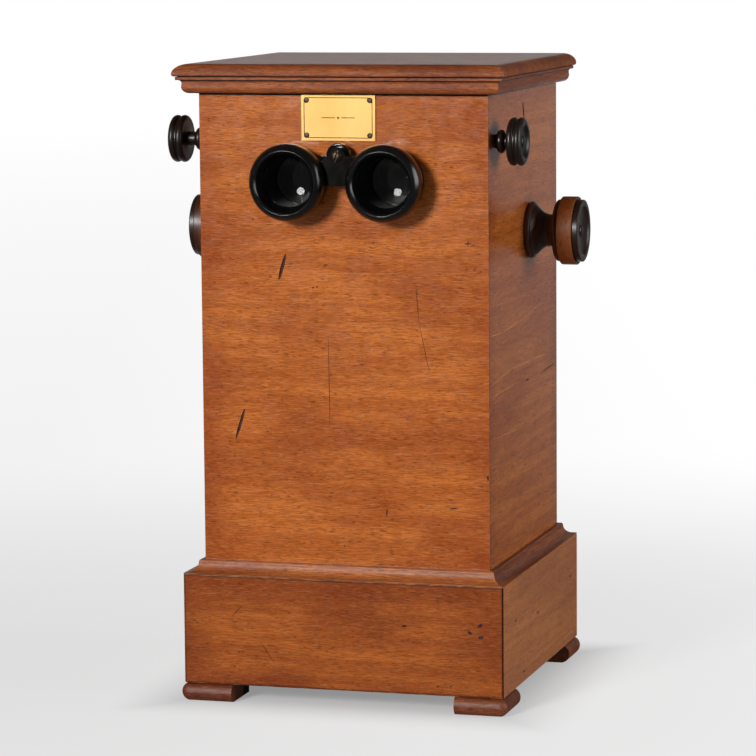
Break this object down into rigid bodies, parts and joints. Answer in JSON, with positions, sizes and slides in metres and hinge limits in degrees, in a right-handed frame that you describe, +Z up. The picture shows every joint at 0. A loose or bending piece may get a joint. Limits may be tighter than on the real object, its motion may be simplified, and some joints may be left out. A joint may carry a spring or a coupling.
{
  "type": "table stereoscope",
  "caption": "Tall wooden table viewer for stereo glass slides: focusing eyepieces on the front, side knobs that turn a chain of slides, hinged lid and a back door with a ground-glass window.",
  "frame": {"origin": "on the table, under the middle of the cabinet", "axes": "+X to the right seen from the front, +Y to the back, +Z up"},
  "size_m": [0.2681, 0.2345, 0.416],
  "materials": {
    "case_wood": "waxed orange-brown mahogany",
    "trim_wood": "waxed mahogany, darker and more worn",
    "black_wood": "ebonised and polished turned wood",
    "ebonite": "polished black hard rubber",
    "black_metal": "black lacquer",
    "brass": "lacquered brass",
    "steel": "darkened steel",
    "lens_glass": "polished",
    "slide_glass": "toned photographic plate",
    "ground_glass": "ground matt"
  },
  "bodies": {
    "cabinet": {"front_panel": "case_wood", "left_side_panel": "case_wood", "right_side_panel": "case_wood", "back_top_rail": "case_wood", "back_bottom_rail": "case_wood", "floor_board": "case_wood", "plinth_front": "case_wood", "plinth_back": "case_wood", "plinth_left": "case_wood", "plinth_right": "case_wood", "base_moulding_front": "trim_wood", "base_moulding_back": "trim_wood", "base_moulding_left": "trim_wood", "base_moulding_right": "trim_wood", "cornice_front": "trim_wood", "cornice_left": "trim_wood", "cornice_right": "trim_wood", "feet": "trim_wood", "label_plate": "brass", "label_screws": "steel", "eyepiece_sleeves": "brass", "septum": "black_wood", "focus_bushes": "brass", "drive_bushes": "brass", "lid_hinge_case_leaves": "brass", "door_hinge_case_leaves": "brass", "hinge_pins": "steel"},
    "lid": {"lid_slab": "trim_wood", "lid_hinge_lid_leaves": "brass"},
    "rear_door": {"door_stiles": "case_wood", "door_rails": "case_wood", "door_panel": "case_wood", "ground_glass": "ground_glass", "door_knob": "brass", "door_hinge_door_leaves": "brass"},
    "focus": {"focus_shaft": "steel", "focus_pinion": "brass", "focus_knob_left": "black_wood", "focus_knob_right": "black_wood"},
    "eyepieces": {"eyecup_left": "ebonite", "eyecup_right": "ebonite", "eyepiece_tubes": "ebonite", "eye_lenses": "lens_glass", "lens_rings": "ebonite", "eyepiece_bridge": "black_metal", "bridge_screw": "steel", "rack_bar": "brass"},
    "drive": {"drive_shaft": "steel", "drive_drum": "case_wood", "drive_knob_left": "black_wood", "drive_knob_right": "black_wood", "top_carriers": "black_metal", "top_slides": "slide_glass"},
    "front_run": {"front_carriers": "black_metal", "front_slides": "slide_glass"},
    "rear_run": {"rear_carriers": "black_metal", "rear_slides": "slide_glass"},
    "lower_loop": {"guide_roller": "case_wood", "lower_carriers": "black_metal", "lower_slides": "slide_glass"}
  },
  "joints": [
    {"name": "lid_hinge", "type": "hinge", "parent": "cabinet", "child": "lid", "pos_m": [0, 0.0968, 0.40785], "axis": [-1, 0, 0], "range_deg": [0, 100]},
    {"name": "door_hinge", "type": "hinge", "parent": "cabinet", "child": "rear_door", "pos_m": [-0.084, 0.0968, 0.2439], "axis": [0, 0, 1], "range_deg": [0, 105]},
    {"name": "focus_turn", "type": "hinge", "parent": "cabinet", "child": "focus", "pos_m": [0, -0.0775, 0.36655], "axis": [-1, 0, 0], "range_deg": [-70, 115]},
    {"name": "eyepiece_slide", "type": "slide", "parent": "cabinet", "child": "eyepieces", "axis": [0, -1, 0], "range_m": [-0.006, 0.01]},
    {"name": "drive_turn", "type": "hinge", "parent": "cabinet", "child": "drive", "pos_m": [0, 0.016, 0.3023], "axis": [1, 0, 0], "range_deg": [0, 90]},
    {"name": "front_run_slide", "type": "slide", "parent": "cabinet", "child": "front_run", "axis": [0, 0, -1], "range_m": [0, 0.0235]},
    {"name": "rear_run_slide", "type": "slide", "parent": "cabinet", "child": "rear_run", "axis": [0, 0, 1], "range_m": [0, 0.0235]},
    {"name": "lower_loop_turn", "type": "hinge", "parent": "cabinet", "child": "lower_loop", "pos_m": [0, 0.016, 0.0908], "axis": [1, 0, 0], "range_deg": [0, 90]}
  ],
  "couplings": [
    {"joint": "eyepiece_slide", "follows": "focus_turn", "m_per_rad": 0.0048},
    {"joint": "front_run_slide", "follows": "drive_turn", "m_per_rad": 0.01496},
    {"joint": "rear_run_slide", "follows": "drive_turn", "m_per_rad": 0.01496},
    {"joint": "lower_loop_turn", "follows": "drive_turn", "ratio": 1}
  ]
}
